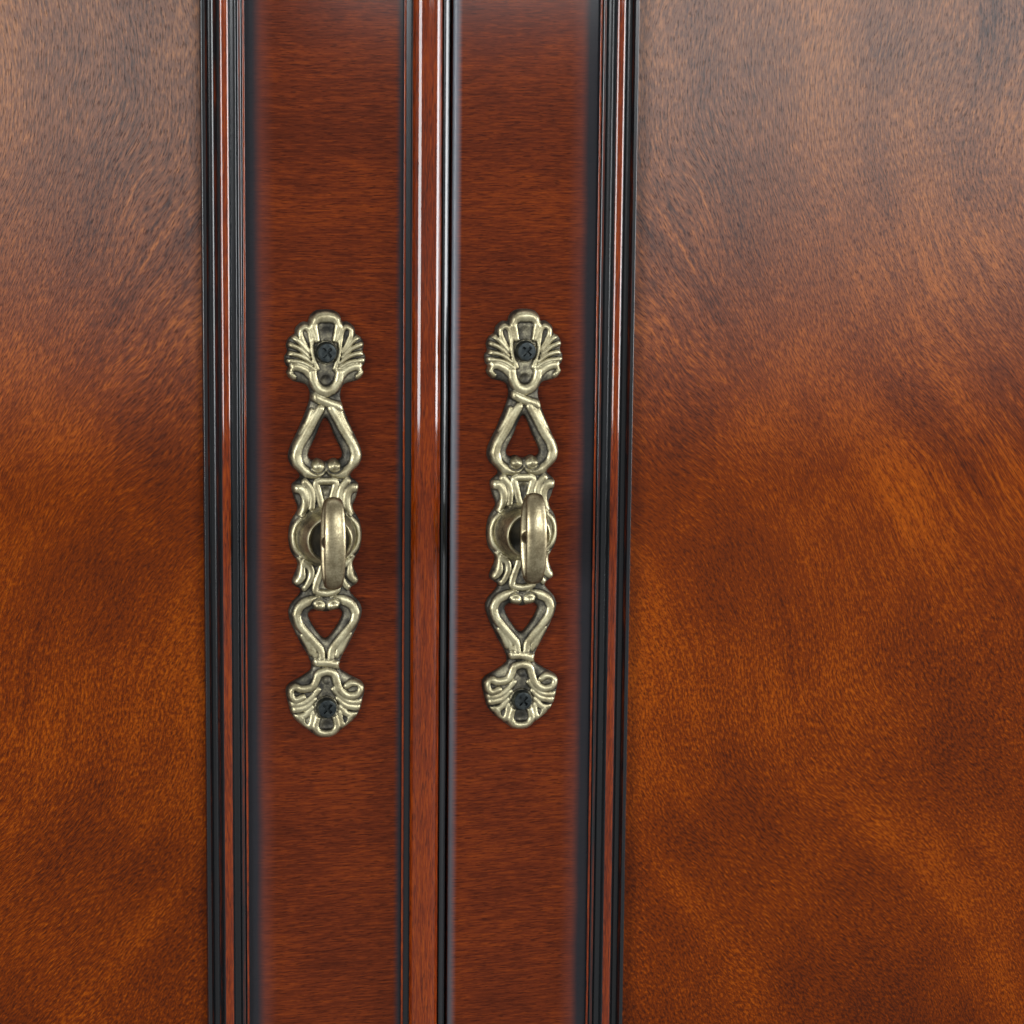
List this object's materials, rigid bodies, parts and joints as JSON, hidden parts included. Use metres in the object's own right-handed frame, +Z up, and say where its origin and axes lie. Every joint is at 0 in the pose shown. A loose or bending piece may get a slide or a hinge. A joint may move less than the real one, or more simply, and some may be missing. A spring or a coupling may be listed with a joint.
{
  "type": "bar cabinet",
  "caption": "Free-standing mahogany bar cabinet: two panelled doors with scrolled brass handles under a pull-out mixing slide and two drawers.",
  "frame": {"origin": "on the floor under the middle of the top board", "axes": "+Z up, front towards -Y, +X to the right seen from the front"},
  "size_m": [1.01, 0.47, 1.08],
  "materials": {
    "crossbanded_mahogany": "gloss lacquer over horizontal mahogany veneer",
    "figured_panel": "gloss lacquer over swirling mahogany veneer",
    "mahogany": "gloss lacquer over straight mahogany",
    "dark_moulding": "gloss lacquer, black in the grooves",
    "inside_wood": "satin lacquer",
    "antique_brass": "antique, dark in the hollows",
    "blackened_steel": "black oxide"
  },
  "bodies": {
    "cabinet": {"side_frames": "mahogany", "side_panels": "figured_panel", "side_mouldings": "dark_moulding", "bottom_board": "inside_wood", "back_panel": "inside_wood", "top_board": "mahogany", "top_moulding": "dark_moulding", "drawer_board": "inside_wood", "cupboard_ceiling": "inside_wood", "centre_partition": "inside_wood", "drawer_partition": "mahogany", "face_stiles": "mahogany", "face_rails": "mahogany", "base_moulding": "dark_moulding", "front_feet": "mahogany", "back_feet": "mahogany", "foot_blocks": "inside_wood", "side_guides": "inside_wood", "shelves": "inside_wood", "shelf_bearers": "inside_wood", "glass_rack_spacers": "inside_wood", "glass_rack_rails": "inside_wood", "bottle_rails": "inside_wood", "door_catches": "blackened_steel", "case_hinge_leaves": "antique_brass", "case_hinge_screws": "antique_brass", "hinge_pins": "antique_brass"},
    "left_door": {"left_door_stiles": "crossbanded_mahogany", "left_door_rails": "crossbanded_mahogany", "left_door_panel": "figured_panel", "left_door_moulding": "dark_moulding", "astragal": "dark_moulding", "left_handle_plate": "antique_brass", "left_handle_bow": "antique_brass", "left_handle_screws": "blackened_steel", "left_door_leaves": "antique_brass", "left_door_hinge_screws": "antique_brass", "left_strike": "blackened_steel"},
    "right_door": {"right_door_stiles": "crossbanded_mahogany", "right_door_rails": "crossbanded_mahogany", "right_door_panel": "figured_panel", "right_door_moulding": "dark_moulding", "right_handle_plate": "antique_brass", "right_handle_bow": "antique_brass", "right_handle_screws": "blackened_steel", "right_door_leaves": "antique_brass", "right_door_hinge_screws": "antique_brass", "right_strike": "blackened_steel"},
    "left_drawer": {"left_drawer_front": "crossbanded_mahogany", "left_drawer_sides": "inside_wood", "left_drawer_back": "inside_wood", "left_drawer_bottom": "inside_wood", "left_drawer_knobs": "antique_brass"},
    "right_drawer": {"right_drawer_front": "crossbanded_mahogany", "right_drawer_sides": "inside_wood", "right_drawer_back": "inside_wood", "right_drawer_bottom": "inside_wood", "right_drawer_knobs": "antique_brass"},
    "mixing_slide": {"mixing_slide": "mahogany", "slide_knobs": "antique_brass"}
  },
  "joints": [
    {"name": "left_door_hinge", "type": "hinge", "parent": "cabinet", "child": "left_door", "pos_m": [-0.43425, -0.2135, 0.4885], "axis": [0, 0, -1], "range_deg": [0, 170]},
    {"name": "right_door_hinge", "type": "hinge", "parent": "cabinet", "child": "right_door", "pos_m": [0.43425, -0.2135, 0.4885], "axis": [0, 0, 1], "range_deg": [0, 170]},
    {"name": "left_drawer_slide", "type": "slide", "parent": "cabinet", "child": "left_drawer", "axis": [0, -1, 0], "range_m": [0, 0.28]},
    {"name": "right_drawer_slide", "type": "slide", "parent": "cabinet", "child": "right_drawer", "axis": [0, -1, 0], "range_m": [0, 0.28]},
    {"name": "mixing_slide_travel", "type": "slide", "parent": "cabinet", "child": "mixing_slide", "axis": [0, -1, 0], "range_m": [0, 0.26]}
  ]
}
